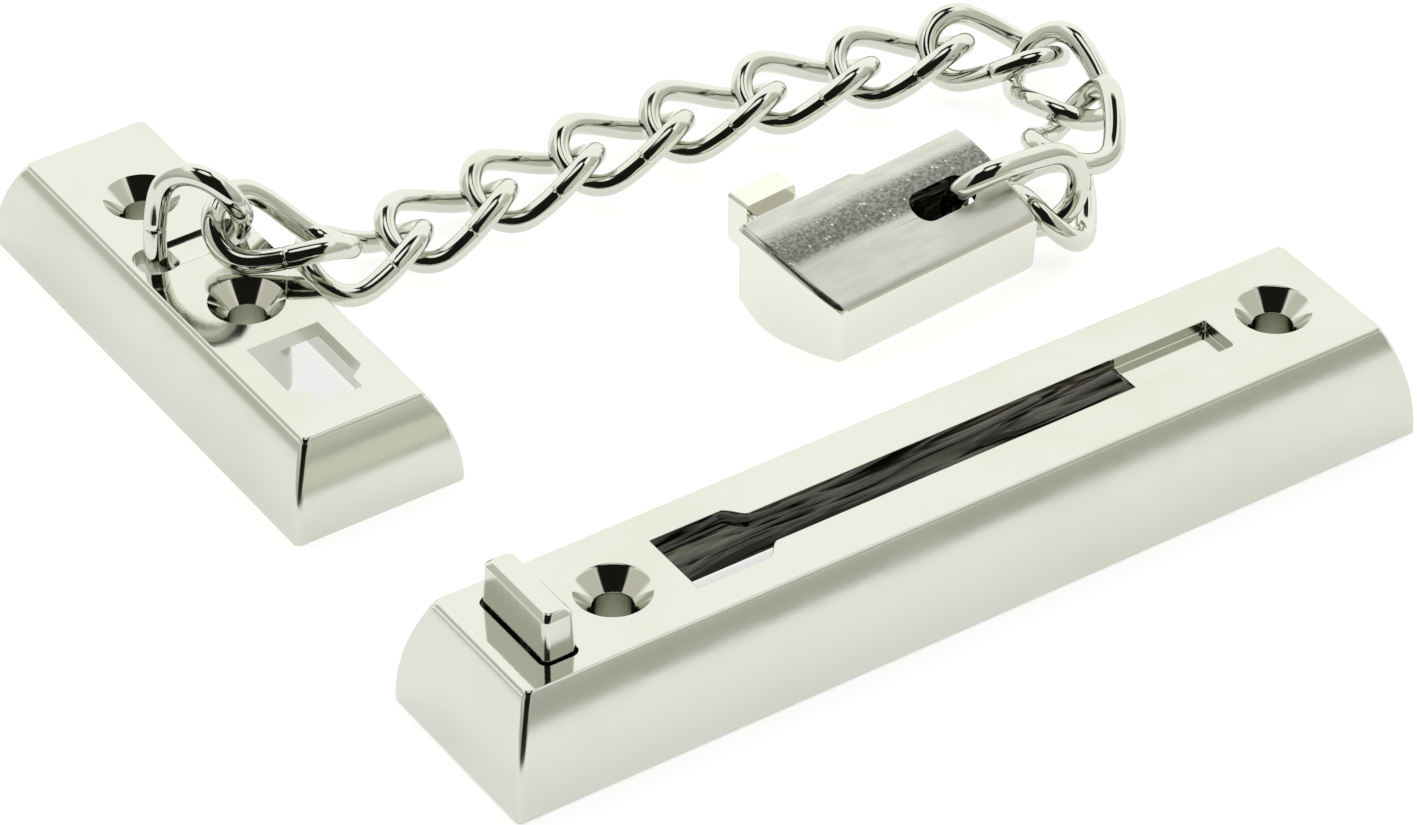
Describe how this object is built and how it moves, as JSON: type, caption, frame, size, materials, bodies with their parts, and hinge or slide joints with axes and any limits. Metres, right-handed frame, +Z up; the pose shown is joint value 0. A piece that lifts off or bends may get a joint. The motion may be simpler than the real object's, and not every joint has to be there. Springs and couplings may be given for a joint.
{
  "type": "door chain guard",
  "caption": "Door chain guard laid out flat: slotted guide rail with a stop, screw-on anchor plate, twisted curb chain and a hollow T-foot slider.",
  "frame": {"origin": "under the middle of the whole object's bounding box, on the surface it lies on", "axes": "+X along the guide rail, +Z up from the surface"},
  "size_m": [0.1292, 0.1212, 0.0241],
  "materials": {
    "nickel_plate": "polished nickel plate",
    "nickel_wire": "polished nickel plate on steel wire"
  },
  "bodies": {
    "anchor_plate": {"anchor_plate": "nickel_plate"},
    "chain_link_01": {"chain_link_01": "nickel_wire"},
    "chain_link_02": {"chain_link_02": "nickel_wire"},
    "chain_link_03": {"chain_link_03": "nickel_wire"},
    "chain_link_04": {"chain_link_04": "nickel_wire"},
    "chain_link_05": {"chain_link_05": "nickel_wire"},
    "chain_link_06": {"chain_link_06": "nickel_wire"},
    "chain_link_07": {"chain_link_07": "nickel_wire"},
    "chain_link_08": {"chain_link_08": "nickel_wire"},
    "chain_link_09": {"chain_link_09": "nickel_wire"},
    "chain_link_10": {"chain_link_10": "nickel_wire"},
    "chain_link_11": {"chain_link_11": "nickel_wire"},
    "chain_link_12": {"chain_link_12": "nickel_wire"},
    "chain_link_13": {"chain_link_13": "nickel_wire"},
    "chain_link_14": {"chain_link_14": "nickel_wire"},
    "slider": {"slider": "nickel_plate"},
    "guide_rail": {"guide_rail": "nickel_plate"}
  },
  "joints": [
    {"name": "chain_link_01_hinge", "type": "hinge", "parent": "anchor_plate", "child": "chain_link_01", "pos_m": [-0.049, 0.03382, 0.00681], "axis": [-1, 0, 0], "range_deg": [0, 6]},
    {"name": "chain_link_02_hinge", "type": "hinge", "parent": "chain_link_01", "child": "chain_link_02", "pos_m": [-0.04796, 0.03004, 0.01937], "axis": [-0.454, -0.891, 0], "range_deg": [0, 6]},
    {"name": "chain_link_03_hinge", "type": "hinge", "parent": "chain_link_02", "child": "chain_link_03", "pos_m": [-0.0352, 0.02511, 0.00831], "axis": [0, 0, 1], "range_deg": [-8, 15]},
    {"name": "chain_link_04_hinge", "type": "hinge", "parent": "chain_link_03", "child": "chain_link_04", "pos_m": [-0.02286, 0.02991, 0.00361], "axis": [0.1045, -0.9945, 0], "range_deg": [0, 20]},
    {"name": "chain_link_05_hinge", "type": "hinge", "parent": "chain_link_04", "child": "chain_link_05", "pos_m": [-0.01039, 0.03073, 0.004], "axis": [0, 0, 1], "range_deg": [-10, 20]},
    {"name": "chain_link_06_hinge", "type": "hinge", "parent": "chain_link_05", "child": "chain_link_06", "pos_m": [0.00213, 0.03116, 0.004], "axis": [-0.0175, -0.9998, 0], "range_deg": [0, 20]},
    {"name": "chain_link_07_hinge", "type": "hinge", "parent": "chain_link_06", "child": "chain_link_07", "pos_m": [0.01465, 0.03093, 0.004], "axis": [0, 0, 1], "range_deg": [-10, 20]},
    {"name": "chain_link_08_hinge", "type": "hinge", "parent": "chain_link_07", "child": "chain_link_08", "pos_m": [0.02712, 0.02983, 0.004], "axis": [0, 0, 1], "range_deg": [-10, 20]},
    {"name": "chain_link_09_hinge", "type": "hinge", "parent": "chain_link_08", "child": "chain_link_09", "pos_m": [0.03946, 0.02789, 0.004], "axis": [0, 0, 1], "range_deg": [-5, 20]},
    {"name": "chain_link_10_hinge", "type": "hinge", "parent": "chain_link_09", "child": "chain_link_10", "pos_m": [0.05156, 0.02609, 0.00418], "axis": [0, 0, 1], "range_deg": [0, 20]},
    {"name": "chain_link_11_hinge", "type": "hinge", "parent": "chain_link_10", "child": "chain_link_11", "pos_m": [0.06131, 0.01872, 0.00374], "axis": [0, 0, 1], "range_deg": [-4, 20]},
    {"name": "chain_link_12_hinge", "type": "hinge", "parent": "chain_link_11", "child": "chain_link_12", "pos_m": [0.0576, 0.00558, 0.00436], "axis": [0, 0, 1], "range_deg": [-5, 15]},
    {"name": "chain_link_13_hinge", "type": "hinge", "parent": "chain_link_12", "child": "chain_link_13", "pos_m": [0.0474, -0.00138, 0.00463], "axis": [-0.891, 0.454, 0], "range_deg": [0, 8]},
    {"name": "chain_link_14_hinge", "type": "hinge", "parent": "chain_link_13", "child": "chain_link_14", "pos_m": [0.04282, -0.01097, 0.00588], "axis": [0, 0, 1], "range_deg": [0, 25]},
    {"name": "slider_hinge", "type": "hinge", "parent": "chain_link_14", "child": "slider", "pos_m": [0.02961, -0.00657, 0.01011], "axis": [-0.0872, 0.9962, 0], "range_deg": [0, 15]},
    {"name": "guide_rail_apart", "type": "slide", "parent": "anchor_plate", "child": "guide_rail", "axis": [0, -1, 0], "range_m": [0, 0.03]}
  ]
}
